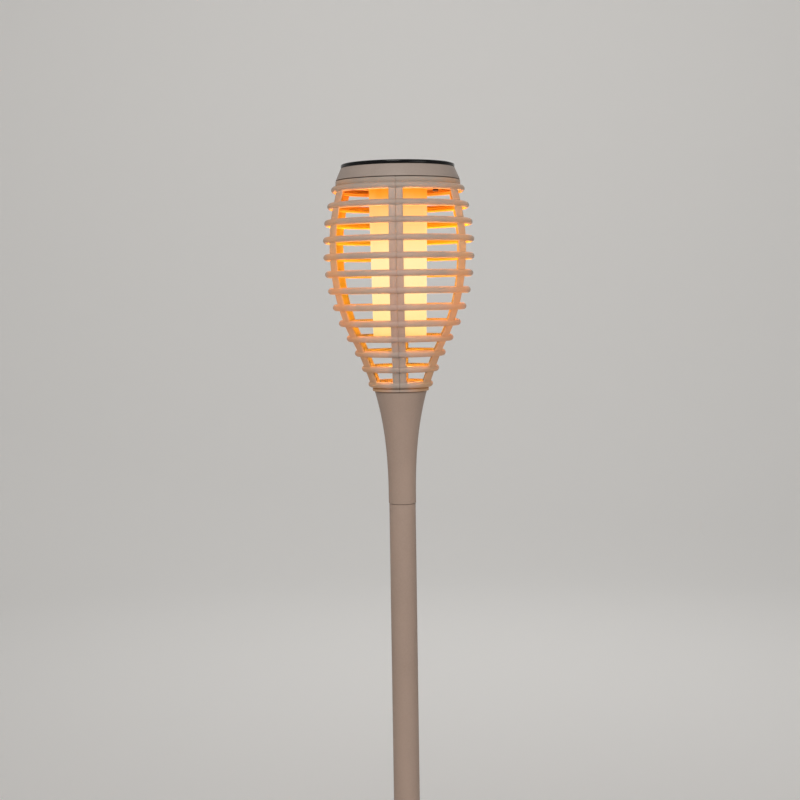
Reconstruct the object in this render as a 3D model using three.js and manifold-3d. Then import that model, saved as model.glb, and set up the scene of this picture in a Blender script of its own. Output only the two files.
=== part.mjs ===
// Solar flame-effect garden torch: ground spike, two plug-together pole sections, flared stem,
// two-part ribbed cage, and a lift-out lamp unit with a solar cap on top.
// Millimetres, +Z up. The origin is on the torch's axis at ground level, and the front faces -Y.

import * as THREE from 'three';
import { mergeVertices } from 'three/addons/utils/BufferGeometryUtils.js';
import Module from 'manifold-3d';

const wasm = await Module();
wasm.setup();

// ---------------------------------------------------------------- driving dimensions

const gap = 0.3;                 // clearance between pieces that touch
const roundSegments = 20;        // facets of a large turned piece
const smallSegments = 12;        // facets of a small turned piece
const weld = 0.5;                // how far joined shapes of one piece run into each other

// Ground spike and pole
const spikeDepth = 170;
const collarRadius = 15;
const collarHeight = 6;
const poleRadius = 10.6;
const poleBore = 9.0;
const poleExposed = 306.7;       // visible length of each of the two pole sections
const plugRadius = 8.6;
const plugLength = 36;
const plugBore = 6.8;

// Flared stem
const stemLength = 92.1;
const stemMouth = 21.3;          // outer radius that the flare reaches at its full length
const stemFoot = 11.0;           // outer radius where the pole enters
const stemWall = 2.2;
const stemFlare = 2.6;           // exponent of the flare
const lipDrop = 1.7;             // length at the top of the flare that the cage's lip takes up
const socketRadius = 18.9;
const socketDepth = 8;

// Heights of the pole joints above the ground
const lowerPoleFoot = collarHeight + gap;
const upperPoleFoot = lowerPoleFoot + poleExposed;
const stemFootHeight = upperPoleFoot + poleExposed;
const stemTop = stemFootHeight + stemLength;

// Cage. From here on, heights are measured from the top of the stem.
const ringCount = 13;
const ringSection = 2.6;         // radius of the round bar that each ring is made of
const ringProfile = [            // radius and height of the bar's centre line, bottom to top
  [23.2, 4.2], [33.5, 28.6], [45.7, 52.1], [54.0, 77.8], [57.4, 105.0], [56.3, 131.7], [50.3, 158.1],
];
const ribCount = 6;
const ribWidth = 10.9;
const ribProud = 1.0;            // outer face, outwards from the bar's centre line
const ribDepth = 0.9;            // inner face, inwards from the bar's centre line
const bandBore = 45.6;
const bandRadius = 50.2;
const bandTopRadius = 49.4;
const bandTop = 165.0;

// Bayonet between the lamp unit and the cage band
const lugReach = 47.2;
const lugHalfAngle = 5;
const lugBottom = 159.2;
const lugTop = 161.4;
const lugAngles = [0, 180];
const lockTwist = 20;            // degrees, clockwise from above, from dropped in to locked
const trackReach = 47.8;
const trackMargin = 1.5;         // degrees of play on each side of a lug

// Lamp unit
const ceiling = 160;             // underside of the base plate
const plateTop = 162.2;
const rimRadius = 44.9;
const rimTop = 168;
const sealRadius = 44.3;
const sealHeight = 163.3;
const sealSection = 1.0;
const capBottomRadius = 49.2;
const capTopRadius = 45.0;
const capBottom = bandTop + gap;
const capTop = 174.9;
const deckBottom = 172.7;
const deckTop = 174.6;
const bezelRadius = 45.0;
const bezelTop = 178.0;
const panelRadius = 39.2;
const panelTop = 176.0;
const windowTop = 177.0;
const tubeTopRadius = 23.2;
const tubeFootRadius = 21.1;     // the tube is moulded with this draft
const tubeWall = 1.2;
const tubeBottom = 40;
const coreRadius = 9.6;
const coreBore = 7.5;
const coreBottom = 44;
const flangeRadius = 18.2;       // of the core, inside the tube's collar
const cellBottom = 55;
const cellTop = cellBottom + 50;
const plugHeight = 3;            // of the plug inside the core
const screwCircle = 34;
const screwAngles = [90, 210, 330];
const screwShank = 1.3;
const screwTip = 171;
const switchPlace = [31, 14];
const switchTravel = 2.5;
const switchTop = 167.6;
const boardBottom = 166;
const boardTop = 167.4;
const boardCentre = -6;          // across, from the axis
const leadHole = [-14.5, 0];     // where the light board's leads pass the plate and the core's flange
const leadHoleRadius = 2.6;
const leadDiameter = 1.2;

// Light-emitting diodes on the wrapped board
const diodeColumns = 6;
const diodeRows = 9;

// ---------------------------------------------------------------- materials

const finishes = {
  greige: { color: 0xb9aa98, roughness: 0.62, metalness: 0 },
  blackGloss: { color: 0x0b0b0d, roughness: 0.18, metalness: 0 },
  blackMatt: { color: 0x151515, roughness: 0.6, metalness: 0 },
  solar: { color: 0x10172a, roughness: 0.3, metalness: 0.1 },
  clear: { color: 0xdfe6ea, roughness: 0.08, metalness: 0 },
  diffuser: { color: 0xffd98a, roughness: 0.45, metalness: 0 },
  whitePlastic: { color: 0xe6e2da, roughness: 0.55, metalness: 0 },
  circuit: { color: 0x1d5c34, roughness: 0.45, metalness: 0 },
  flexBoard: { color: 0xe9e4c9, roughness: 0.5, metalness: 0 },
  cellWrap: { color: 0x2f7d46, roughness: 0.35, metalness: 0 },
  steel: { color: 0xb4b6b8, roughness: 0.3, metalness: 1 },
  redWire: { color: 0xa81d18, roughness: 0.5, metalness: 0 },
  blackWire: { color: 0x141414, roughness: 0.5, metalness: 0 },
};

// ---------------------------------------------------------------- tools for solids

function solid(geometry) {
  const bare = geometry.clone();
  bare.deleteAttribute('normal');
  bare.deleteAttribute('uv');
  const merged = mergeVertices(bare, 1e-4);
  return new wasm.Manifold(new wasm.Mesh({
    numProp: 3,
    vertProperties: new Float32Array(merged.attributes.position.array),
    triVerts: new Uint32Array(merged.index.array),
  }));
}

function geometryOf(body) {
  const { vertProperties, triVerts } = body.getMesh();
  const geometry = new THREE.BufferGeometry();
  geometry.setAttribute('position', new THREE.BufferAttribute(new Float32Array(vertProperties), 3));
  geometry.setIndex(new THREE.BufferAttribute(new Uint32Array(triVerts), 1));
  geometry.computeVertexNormals();
  return geometry;
}

function union(bodies) {
  return bodies.reduce((joined, body) => joined.add(body));
}

// A profile of [radius, height] points, counter-clockwise, turned about Z. A profile that doesn't
// reach the axis is closed on itself.
function turned(profile, segments = roundSegments) {
  const points = profile.map(([radius, height]) => new THREE.Vector2(radius, height));
  const last = profile[profile.length - 1];
  const reachesAxis = profile[0][0] === 0 && last[0] === 0;
  if (!reachesAxis) points.push(points[0].clone());
  return solid(new THREE.LatheGeometry(points, segments).rotateX(Math.PI / 2));
}

function tube(outer, inner, bottom, top, segments = roundSegments) {
  return turned([[inner, bottom], [outer, bottom], [outer, top], [inner, top]], segments);
}

function disc(radius, bottom, top, segments = smallSegments) {
  return turned([[0, bottom], [radius, bottom], [radius, top], [0, top]], segments);
}

function block(sizeX, sizeY, bottom, top, x = 0, y = 0) {
  const box = new THREE.BoxGeometry(sizeX, sizeY, top - bottom);
  return solid(box.translate(x, y, (bottom + top) / 2));
}

function moved(body, x, y, z = 0) {
  return body.translate([x, y, z]);
}

// A flat outline of [across, height] points in the XZ plane, given a thickness along Y.
function plate(outline, thickness) {
  const shape = new THREE.Shape(outline.map(([across, height]) => new THREE.Vector2(across, height)));
  const geometry = new THREE.ExtrudeGeometry(shape, { depth: thickness, bevelEnabled: false });
  return solid(geometry.translate(0, 0, -thickness / 2).rotateX(Math.PI / 2));
}

// A block with curved inner and outer faces about Z, between two angles measured from +X.
function sector(inner, outer, fromDegrees, toDegrees, bottom, top) {
  const from = THREE.MathUtils.degToRad(fromDegrees);
  const to = THREE.MathUtils.degToRad(toDegrees);
  const shape = new THREE.Shape();
  shape.absarc(0, 0, outer, from, to, false);
  shape.absarc(0, 0, inner, to, from, true);
  const geometry = new THREE.ExtrudeGeometry(shape, {
    depth: top - bottom, bevelEnabled: false, curveSegments: 3,
  });
  return solid(geometry.translate(0, 0, bottom));
}

// A wire of round section along a smooth curve through the given points.
function wire(points, diameter, steps) {
  const path = new THREE.CatmullRomCurve3(points.map((point) => new THREE.Vector3(...point)));
  const section = new THREE.Shape().absarc(0, 0, diameter / 2, 0, 2 * Math.PI, false);
  const geometry = new THREE.ExtrudeGeometry(section, {
    steps, extrudePath: path, bevelEnabled: false, curveSegments: 3,
  });
  return solid(geometry);
}

function around(angleDegrees, radius) {
  const angle = THREE.MathUtils.degToRad(angleDegrees);
  return [radius * Math.cos(angle), radius * Math.sin(angle)];
}

function piece(name, body, finish) {
  const mesh = new THREE.Mesh(geometryOf(body), new THREE.MeshStandardMaterial(finishes[finish]));
  mesh.name = name;
  return mesh;
}

// ---------------------------------------------------------------- spike and pole

// The end of a plug above its shoulder, with a lead-in chamfer: the last points of a turned profile.
function plugHead(shoulder) {
  const chamfer = 1;
  const top = shoulder + plugLength;
  return [[plugRadius, top - chamfer], [plugRadius - chamfer, top], [plugBore, top]];
}

// Two crossed blades that taper to a point, a collar that stops at the ground, and a plug for the pole.
function groundSpike() {
  const bladeHalf = 10.5;
  const tipHalf = 1.2;
  const bladeThickness = 3;
  const taperStart = -spikeDepth * 0.3;
  const outline = [
    [-tipHalf, -spikeDepth], [tipHalf, -spikeDepth], [bladeHalf, taperStart], [bladeHalf, weld],
    [-bladeHalf, weld], [-bladeHalf, taperStart],
  ];
  const blade = plate(outline, bladeThickness);
  const collarChamfer = 2;
  const collar = turned([
    [0, 0], [collarRadius, 0], [collarRadius, collarHeight - collarChamfer],
    [collarRadius - collarChamfer, collarHeight], [0, collarHeight],
  ]);
  const plug = turned([
    [plugBore, collarHeight - weld], [plugRadius, collarHeight - weld], ...plugHead(collarHeight),
  ]);
  return union([blade, blade.rotate([0, 0, 90]), collar, plug]);
}

// A tube with a socket at its foot and a reduced plug at its head.
function poleSection(foot) {
  const shoulder = foot + poleExposed - gap;
  const neckTop = shoulder - 4;
  const neckBottom = neckTop - 3;
  return turned([
    [poleBore, foot], [poleRadius, foot], [poleRadius, shoulder], [plugRadius, shoulder],
    ...plugHead(shoulder), [plugBore, neckTop], [poleBore, neckBottom],
  ]);
}

// The flared stem: a socket for the pole at its foot and one for the cage at its mouth.
function flaredStem() {
  const steps = 8;
  const boreTop = plugLength + 2 - stemLength;
  const outside = [];
  const inside = [];
  for (let step = 0; step <= steps; step += 1) {
    const height = -stemLength + ((stemLength - lipDrop) * step) / steps;
    const part = (height + stemLength) / stemLength;
    const radius = stemFoot + (stemMouth - stemFoot) * part ** stemFlare;
    outside.push([radius, height]);
    if (height > boreTop && height < -socketDepth) inside.push([radius - stemWall, height]);
  }
  const mouth = [[socketRadius, -lipDrop], [socketRadius, -socketDepth]];
  const foot = [[poleBore, boreTop], [poleBore, -stemLength]];
  return turned([...outside, ...mouth, ...inside.reverse(), ...foot]);
}

// ---------------------------------------------------------------- cage

const profileCurve = new THREE.SplineCurve(
  ringProfile.map(([radius, height]) => new THREE.Vector2(radius, height)),
);

// One ring: a round bar bent into a hoop, evenly spaced along the cage's profile.
function hoop(index) {
  const centre = profileCurve.getPointAt(index / (ringCount - 1));
  const geometry = new THREE.TorusGeometry(centre.x, ringSection, 6, roundSegments);
  return solid(geometry.translate(0, 0, centre.y));
}

// One rib: a strip that follows the profile, a little behind the bars' outer faces.
function rib(angleDegrees) {
  const points = profileCurve.getSpacedPoints(ringCount - 1);
  const outside = points.map((point) => [point.x + ribProud, point.y]);
  const inside = points.map((point) => [point.x - ribDepth, point.y]);
  const strip = plate([...outside, ...inside.reverse()], ribWidth);
  return strip.rotate([0, 0, angleDegrees]);
}

// The band above the top ring, which carries the cap and holds the bayonet tracks.
function topBand() {
  const bandBottom = 157;
  const stepBottom = 160.6;
  const stepTop = 161.0;
  const band = turned([
    [bandBore, bandBottom], [bandRadius, bandBottom], [bandRadius, stepBottom],
    [bandTopRadius, stepTop], [bandTopRadius, bandTop], [bandBore, bandTop],
  ]);
  const trackBore = bandBore - 2;
  const trackBottom = lugBottom - gap;
  const notchHalf = lugHalfAngle + trackMargin;
  const cuts = lugAngles.flatMap((angle) => {
    const notchStart = angle - notchHalf;
    const end = angle + notchHalf;
    return [
      sector(trackBore, trackReach, notchStart, end, trackBottom, bandTop + weld),
      sector(trackBore, trackReach, notchStart - lockTwist, end, trackBottom, lugTop + gap),
    ];
  });
  return cuts.reduce((left, cut) => left.subtract(cut), band);
}

// The cup under the lowest ring: a neck, a lip, a floor with a drain hole, and a spigot for the stem.
function bottomCup() {
  const spigot = 18.5;
  const spigotBore = spigot - stemWall;
  const spigotFoot = 1 - socketDepth;
  const lip = 22.5;
  const lipFoot = gap - lipDrop;
  const lipHeight = 0.9;
  const neck = 21.3;
  const neckHeight = 1.3;
  const drain = 8;
  const floorRadius = 20;
  const floorTop = 2.6;
  const [ringRadius, ringHeight] = ringProfile[0];
  return turned([
    [spigotBore, spigotFoot], [spigot, spigotFoot], [spigot, lipFoot], [lip, lipFoot],
    [lip, lipHeight], [neck, neckHeight], [ringRadius, ringHeight], [ringRadius - 2, ringHeight],
    [floorRadius, floorTop], [drain, floorTop], [drain, gap], [spigotBore, gap],
  ]);
}

// The whole cage is cut down the middle of its front and back ribs into two mouldings.
function cageHalf(side) {
  const hoops = Array.from({ length: ringCount }, (_, index) => hoop(index));
  const ribs = Array.from({ length: ribCount }, (_, index) => rib((360 / ribCount) * index + 90));
  const whole = union([...hoops, ...ribs, topBand(), bottomCup()]);
  const reach = 80;
  const keep = block(reach, 2 * reach, -reach, 3 * reach, (side * (reach + gap)) / 2, 0);
  return whole.intersect(keep);
}

// ---------------------------------------------------------------- lamp unit: housing

// A tapered drum with a deck under the solar panel and a boss for each base screw.
function capShell() {
  const wall = 2.4;
  const rebate = 1.8;
  const deckBore = 28;
  const bossRadius = 3.6;
  const shell = turned([
    [capBottomRadius - wall, capBottom], [capBottomRadius, capBottom], [capTopRadius, capTop],
    [capTopRadius - rebate, capTop], [capTopRadius - rebate, deckTop], [deckBore, deckTop],
    [deckBore, deckBottom], [capTopRadius - wall, deckBottom],
  ]);
  const boss = tube(bossRadius, screwShank + weld, plateTop + gap, deckBottom + weld, smallSegments);
  const bosses = screwAngles.map((angle) => moved(boss, ...around(angle, screwCircle)));
  return union([shell, ...bosses]);
}

// The lamp unit's floor, which drops into the cage band: a groove for the seal, two bayonet lugs,
// a collar for the flame tube, posts for the control board, and holes for leads, switch and screws.
function basePlate() {
  const rimBore = 41.2;
  const rimNeck = 43.6;
  const groove = 42.5;
  const grooveHalf = 1.3;
  const centreHole = 5;
  const collarBore = flangeRadius + 0.4;
  const collarRadiusOut = tubeTopRadius - tubeWall - 2 * gap;
  const collarFoot = 154;
  const body = turned([
    [centreHole, ceiling], [rimRadius, ceiling], [rimRadius, sealHeight - grooveHalf],
    [groove, sealHeight - grooveHalf], [groove, sealHeight + grooveHalf],
    [rimRadius, sealHeight + grooveHalf], [rimRadius, bandTop], [rimNeck, bandTop + 0.8],
    [rimNeck, rimTop], [rimBore, rimTop], [rimBore, plateTop], [centreHole, plateTop],
  ]);
  const lugs = lugAngles.map((angle) => sector(
    groove, lugReach, angle - lugHalfAngle, angle + lugHalfAngle, lugBottom, lugTop,
  ));
  const collar = tube(collarRadiusOut, collarBore, collarFoot, ceiling + weld);
  const post = disc(2.2, plateTop - weld, boardBottom - gap);
  const posts = [-18, 18].map((x) => moved(post, boardCentre + x, -10));
  const throughHole = (radius) => disc(radius, ceiling - weld, plateTop + weld);
  const screwHoles = screwAngles.map((angle) => (
    moved(throughHole(screwShank + weld), ...around(angle, screwCircle))
  ));
  const slot = block(switchTravel + 4, 3.6, ceiling - weld, plateTop + weld, ...switchPlace);
  const holes = [...screwHoles, slot, moved(throughHole(leadHoleRadius), ...leadHole)];
  return holes.reduce((left, hole) => left.subtract(hole), union([body, ...lugs, collar, ...posts]));
}

// Silicone ring in the base plate's groove, which steadies the lamp unit in the band.
function sealRing() {
  const geometry = new THREE.TorusGeometry(sealRadius, sealSection, 6, roundSegments);
  return solid(geometry.translate(0, 0, sealHeight));
}

// The rim around the solar panel, which stands on the cap and laps over the panel's window.
function bezelRing() {
  const foot = capTop + gap;
  const footBore = 40.2;
  const lipBore = 37.4;
  const lipBottom = windowTop + gap;
  const edge = 0.6;
  return turned([
    [footBore, foot], [bezelRadius, foot], [bezelRadius, bezelTop - edge],
    [bezelRadius - edge, bezelTop], [lipBore + edge, bezelTop], [lipBore, lipBottom],
    [footBore, lipBottom],
  ]);
}

// A pan-head screw with a cross recess, put in from below.
function baseScrew(angleDegrees) {
  const headRadius = 2.8;
  const headBottom = 158;
  const headTop = ceiling - gap;
  const screw = turned([
    [0, headBottom], [headRadius - 0.8, headBottom], [headRadius, headBottom + 0.7],
    [headRadius, headTop], [screwShank, headTop], [screwShank, screwTip - 1.6], [0.6, screwTip],
    [0, screwTip],
  ], smallSegments);
  const recessTop = headBottom + 0.9;
  const bar = block(4.2, 0.8, headBottom - weld, recessTop);
  const recess = bar.add(bar.rotate([0, 0, 90]));
  return moved(screw.subtract(recess), ...around(angleDegrees, screwCircle));
}

// ---------------------------------------------------------------- lamp unit: electrics

// A board with a driver chip, a coil, two small parts, a capacitor can and the lead connector.
function controlBoard() {
  const board = block(44, 26, boardBottom, boardTop, boardCentre, 0);
  const onBoard = (sizeX, sizeY, height, x, y) => (
    block(sizeX, sizeY, boardTop - weld, boardTop + height, x, y)
  );
  const capacitor = disc(2.5, boardTop - weld, boardTop + 4, 8);
  return union([
    board,
    onBoard(7, 5, 1.5, -15, 4),
    onBoard(4, 4, 2.2, 2, 8),
    onBoard(3, 1.8, 1, -20, -6),
    onBoard(3, 1.8, 1, -12, -7),
    moved(capacitor, 8, -7),
    onBoard(5.6, 7.2, 3, 10, 5),
  ]);
}

// A slide switch that stands on the plate, open underneath for its knob.
function switchBody() {
  const [x, y] = switchPlace;
  const body = block(8.6, 4.8, plateTop + gap, switchTop, x, y);
  const pocket = block(switchTravel + 3.8, 3.2, plateTop, switchTop - 2, x, y);
  return body.subtract(pocket);
}

// The knob that slides along X: a stem in the switch and a wider grip under the plate.
function switchKnob() {
  const [x, y] = switchPlace;
  const left = x - switchTravel / 2;
  const gripTop = ceiling - gap;
  const stem = block(2.8, 2.6, gripTop - weld, switchTop - 2.4, left, y);
  const grip = block(4.2, 3.6, gripTop - 2.3, gripTop, left, y);
  return stem.add(grip);
}

// A white column that carries the light board outside and the cell inside.
function ledCore() {
  const flangeTop = ceiling - gap;
  const flangeBottom = flangeTop - 2.3;
  const column = tube(coreRadius, coreBore, coreBottom, flangeBottom + weld);
  const flange = tube(flangeRadius, coreBore, flangeBottom, flangeTop);
  const passage = disc(leadHoleRadius, flangeBottom - weld, flangeTop + weld);
  return column.add(flange).subtract(moved(passage, ...leadHole));
}

// A flexible board wrapped around the core, with its diodes facing outwards in columns.
function ledBoard() {
  const inner = coreRadius + gap;
  const outer = inner + 0.8;
  const bottom = 50;
  const top = 152;
  const seam = block(outer, 1.2, bottom - weld, top + weld, outer / 2 + 1, 0);
  const wrap = tube(outer, inner, bottom, top).subtract(seam);
  const pitch = (top - bottom) / diodeRows;
  const diodeHalf = 1.4;
  const diodes = [];
  for (let column = 0; column < diodeColumns; column += 1) {
    const angle = (360 / diodeColumns) * (column + 0.5);
    for (let row = 0; row < diodeRows; row += 1) {
      const height = bottom + pitch * (row + 0.5);
      const diode = block(1.6, 2 * diodeHalf, height - diodeHalf, height + diodeHalf, outer + 0.4, 0);
      diodes.push(diode.rotate([0, 0, angle]));
    }
  }
  return union([wrap, ...diodes]);
}

// A round rechargeable cell with its raised contact on top.
function battery() {
  const radius = 7.1;
  const edge = 0.7;
  const capRadius = 2.7;
  const shoulder = cellTop - 1.2;
  return turned([
    [0, cellBottom], [radius - edge, cellBottom], [radius, cellBottom + edge],
    [radius, shoulder - edge], [radius - edge, shoulder], [capRadius, shoulder],
    [capRadius, cellTop], [0, cellTop],
  ], smallSegments);
}

// A conical coil spring between the core's plug and the foot of the cell.
function batterySpring() {
  const wireDiameter = 0.8;
  const end = wireDiameter / 2 + gap;
  const bottom = coreBottom + plugHeight + end;
  const top = cellBottom - end;
  const wide = 5.6;
  const narrow = 3.2;
  const steps = 24;
  const turns = 3;
  const points = Array.from({ length: steps + 1 }, (_, step) => {
    const part = step / steps;
    const [x, y] = around(360 * turns * part, THREE.MathUtils.lerp(wide, narrow, part));
    return [x, y, THREE.MathUtils.lerp(bottom, top, part)];
  });
  return wire(points, wireDiameter, steps);
}

function batteryContact() {
  return disc(7.1, cellTop + gap, cellTop + 1.1);
}

function corePlug() {
  const flange = 9.2;
  const plug = coreBore - 0.4;
  return turned([
    [0, coreBottom - 2], [flange, coreBottom - 2], [flange, coreBottom - gap],
    [plug, coreBottom - gap], [plug, coreBottom + plugHeight], [0, coreBottom + plugHeight],
  ], smallSegments);
}

// The frosted tube, a little wider at the top than at the foot.
function flameTube() {
  const top = ceiling - gap;
  return turned([
    [tubeFootRadius - tubeWall, tubeBottom], [tubeFootRadius, tubeBottom],
    [tubeTopRadius, top], [tubeTopRadius - tubeWall, top],
  ]);
}

function tubeEndCap() {
  const plug = tubeFootRadius - tubeWall - gap;
  return turned([
    [0, tubeBottom - 1.7], [tubeFootRadius, tubeBottom - 1.7], [tubeFootRadius, tubeBottom - gap],
    [plug, tubeBottom - gap], [plug, tubeBottom + 1.5], [0, tubeBottom + 1.5],
  ]);
}

function solarPanel() {
  return disc(panelRadius, deckTop + gap, panelTop, roundSegments);
}

function panelWindow() {
  return disc(panelRadius, panelTop + gap, windowTop, roundSegments);
}

// Each lead is a straight or gently bent run between two soldered ends. The red lead of a pair is
// at -leadSpacing and the black one at +leadSpacing.
const leadSpacing = 1.5;
const solderBelow = boardBottom - gap;
const solderAbove = boardTop + 2 * gap;
const leadRuns = {
  solar_lead: (side) => [
    [side - 4, 14, deckTop], [side - 4, 14, 173.2], [side - 5, 10, 170.2], [side - 5, 9.6, solderAbove],
  ],
  led_lead: (side) => [
    [leadHole[0], side, solderBelow], [leadHole[0], side, ceiling],
    [leadHole[0] + 0.5, side, 156.5], [-10.6, side, 152.9],
  ],
  battery_lead: (side) => [[side, 0, solderBelow], [side, 0, cellTop + 1.4]],
};

function leads() {
  return Object.entries(leadRuns).flatMap(([name, run]) => [
    piece(`${name}_red`, wire(run(-leadSpacing), leadDiameter, 7), 'redWire'),
    piece(`${name}_black`, wire(run(leadSpacing), leadDiameter, 7), 'blackWire'),
  ]);
}

// ---------------------------------------------------------------- assembly

const torch = new THREE.Group();
torch.add(piece('ground_spike', groundSpike(), 'greige'));
torch.add(piece('lower_pole', poleSection(lowerPoleFoot), 'greige'));
torch.add(piece('upper_pole', poleSection(upperPoleFoot), 'greige'));

const head = new THREE.Group();
head.position.z = stemTop;
head.add(piece('flared_stem', flaredStem(), 'greige'));
head.add(piece('cage_half_left', cageHalf(-1), 'greige'));
head.add(piece('cage_half_right', cageHalf(1), 'greige'));
torch.add(head);

const lampUnit = new THREE.Group();
lampUnit.add(piece('cap_shell', capShell(), 'greige'));
lampUnit.add(piece('base_plate', basePlate(), 'greige'));
lampUnit.add(piece('seal_ring', sealRing(), 'blackMatt'));
lampUnit.add(piece('bezel_ring', bezelRing(), 'blackGloss'));
lampUnit.add(piece('solar_panel', solarPanel(), 'solar'));
lampUnit.add(piece('panel_window', panelWindow(), 'clear'));
lampUnit.add(piece('flame_tube', flameTube(), 'diffuser'));
lampUnit.add(piece('tube_end_cap', tubeEndCap(), 'diffuser'));
lampUnit.add(piece('control_board', controlBoard(), 'circuit'));
lampUnit.add(piece('switch_body', switchBody(), 'blackMatt'));
lampUnit.add(piece('switch_knob', switchKnob(), 'blackMatt'));
lampUnit.add(piece('led_core', ledCore(), 'whitePlastic'));
lampUnit.add(piece('led_board', ledBoard(), 'flexBoard'));
lampUnit.add(piece('core_plug', corePlug(), 'whitePlastic'));
lampUnit.add(piece('battery', battery(), 'cellWrap'));
lampUnit.add(piece('battery_spring', batterySpring(), 'steel'));
lampUnit.add(piece('battery_contact', batteryContact(), 'steel'));
screwAngles.forEach((angle, index) => {
  lampUnit.add(piece(`base_screw_${index + 1}`, baseScrew(angle), 'steel'));
});
leads().forEach((lead) => lampUnit.add(lead));
head.add(lampUnit);

export default torch;
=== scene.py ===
"""Looks for the solar flame torch: smooth moulded shells, a glowing tube and a studio."""

import math

import bmesh
import bpy
from mathutils import Matrix, Vector


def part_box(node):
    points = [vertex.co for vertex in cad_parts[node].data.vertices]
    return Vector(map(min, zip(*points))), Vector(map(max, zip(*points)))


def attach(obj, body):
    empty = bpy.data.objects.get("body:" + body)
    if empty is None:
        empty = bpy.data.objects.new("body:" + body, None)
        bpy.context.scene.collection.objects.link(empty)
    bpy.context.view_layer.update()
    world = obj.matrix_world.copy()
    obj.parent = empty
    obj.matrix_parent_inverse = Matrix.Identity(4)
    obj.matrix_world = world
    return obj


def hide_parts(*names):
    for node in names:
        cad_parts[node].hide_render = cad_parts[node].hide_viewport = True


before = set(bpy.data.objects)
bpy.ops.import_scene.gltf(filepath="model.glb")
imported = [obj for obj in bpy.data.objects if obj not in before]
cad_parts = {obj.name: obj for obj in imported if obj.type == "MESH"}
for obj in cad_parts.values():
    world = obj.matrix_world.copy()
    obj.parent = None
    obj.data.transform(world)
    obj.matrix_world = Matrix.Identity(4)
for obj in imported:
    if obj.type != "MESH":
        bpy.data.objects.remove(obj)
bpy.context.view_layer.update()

MM = 0.001
SEAM_OVERLAP = 0.01 * MM        # each half of the cage runs this far past the middle, so no gap shows


# ---- places read from the frame

def top(node):
    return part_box(node)[1].z


def bottom(node):
    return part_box(node)[0].z


def reach(node):
    """The radius of a turned node, from its box."""
    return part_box(node)[1].x


GAP = 0.3 * MM                  # between pieces that meet
LIP_DROP = 1.7 * MM             # the cage's lip takes up this much of the flare
STEM_TOP = top("flared_stem") + LIP_DROP
BAND_TOP = top("cage_half_left")
CEILING = top("flame_tube") + GAP


def above_stem(height):
    """A height in the frame, as millimetres above the top of the stem."""
    return (height - STEM_TOP) / MM


def in_frame(height):
    """Millimetres above the top of the stem, as a height in the frame."""
    return STEM_TOP + height * MM


def foot_and_top(node):
    """A node's lowest and highest points, in millimetres above the top of the stem."""
    return above_stem(bottom(node)), above_stem(top(node))


# ---- camera and studio

EYE_HEIGHT = STEM_TOP + 76.1 * MM
EYE_DISTANCE = 1.141
EYE_ASIDE = -0.8 * MM
EYE_AZIMUTH = math.radians(2.0)
EYE_PITCH = math.radians(4.27)
EYE_ROLL = math.radians(0.85)
LENS = 64.26
SENSOR = 36.0


def added_object(name, data):
    made = bpy.data.objects.new(name, data)
    bpy.context.scene.collection.objects.link(made)
    return made


def make_camera():
    """The photographer's eye, a little above the torch's foot and tipped down at the pole."""
    data = bpy.data.cameras.new("camera")
    data.lens = LENS
    data.sensor_width = SENSOR
    data.dof.use_dof = False
    data.clip_start = 0.05
    data.clip_end = 50
    camera = added_object("camera", data)
    back = Vector((math.sin(EYE_AZIMUTH), -math.cos(EYE_AZIMUTH), 0))
    right = Vector((-back.y, back.x, 0))
    camera.location = back * EYE_DISTANCE + right * EYE_ASIDE + Vector((0, 0, EYE_HEIGHT))
    turn = Matrix.Rotation(EYE_AZIMUTH, 4, "Z") @ Matrix.Rotation(math.pi / 2 - EYE_PITCH, 4, "X")
    camera.rotation_euler = (turn @ Matrix.Rotation(-EYE_ROLL, 4, "Z")).to_euler()
    bpy.context.scene.camera = camera


def area_light(name, stand, aim, size, power, colour):
    """A round soft light that stands at one point and is aimed at another."""
    data = bpy.data.lights.new(name, "AREA")
    data.shape = "DISK"
    data.size = size
    data.energy = power
    data.color = colour
    light = added_object(name, data)
    light.location = stand
    light.rotation_euler = (Vector(aim) - Vector(stand)).to_track_quat("-Z", "Y").to_euler()


def make_studio():
    """Lights from above the camera, the right and behind, one on the wall, and a dim pale world."""
    area_light("key", (-0.25, -1.85, 2.0), (0, 0, 0.78), 1.0, 26, (1.0, 0.965, 0.925))
    area_light("fill", (1.9, -1.9, 1.0), (0, 0, 0.6), 1.4, 7, (1.0, 0.97, 0.94))
    area_light("back", (0.6, 2.6, 2.3), (0, 0, 0.6), 1.6, 10, (1.0, 0.98, 0.96))
    area_light("wall", (0, 2.3, 2.6), (0, 5.2, 0.6), 1.8, 22, (1.0, 0.99, 0.975))
    world = bpy.data.worlds.new("studio")
    bpy.context.scene.world = world
    world.use_nodes = True
    background = world.node_tree.nodes["Background"]
    background.inputs["Color"].default_value = (1.0, 0.985, 0.965, 1)
    background.inputs["Strength"].default_value = 0.28
    bpy.context.scene.view_settings.view_transform = "Standard"


# ---- mesh tools

def mesh_object(name, points, faces, material):
    mesh = bpy.data.meshes.new(name)
    mesh.from_pydata([tuple(p) for p in points], [], faces)
    mesh.validate()
    mesh.materials.append(material)
    return added_object(name, mesh)


def smooth(made):
    """Smooth shading with sharp edges kept where faces meet at more than 32 degrees."""
    mesh = made.data
    work = bmesh.new()
    work.from_mesh(mesh)
    bmesh.ops.recalc_face_normals(work, faces=work.faces)
    limit = math.radians(32)
    for face in work.faces:
        face.smooth = True
    for edge in work.edges:
        edge.smooth = len(edge.link_faces) == 2 and edge.calc_face_angle(0) < limit
    work.to_mesh(mesh)
    work.free()
    return made


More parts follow.
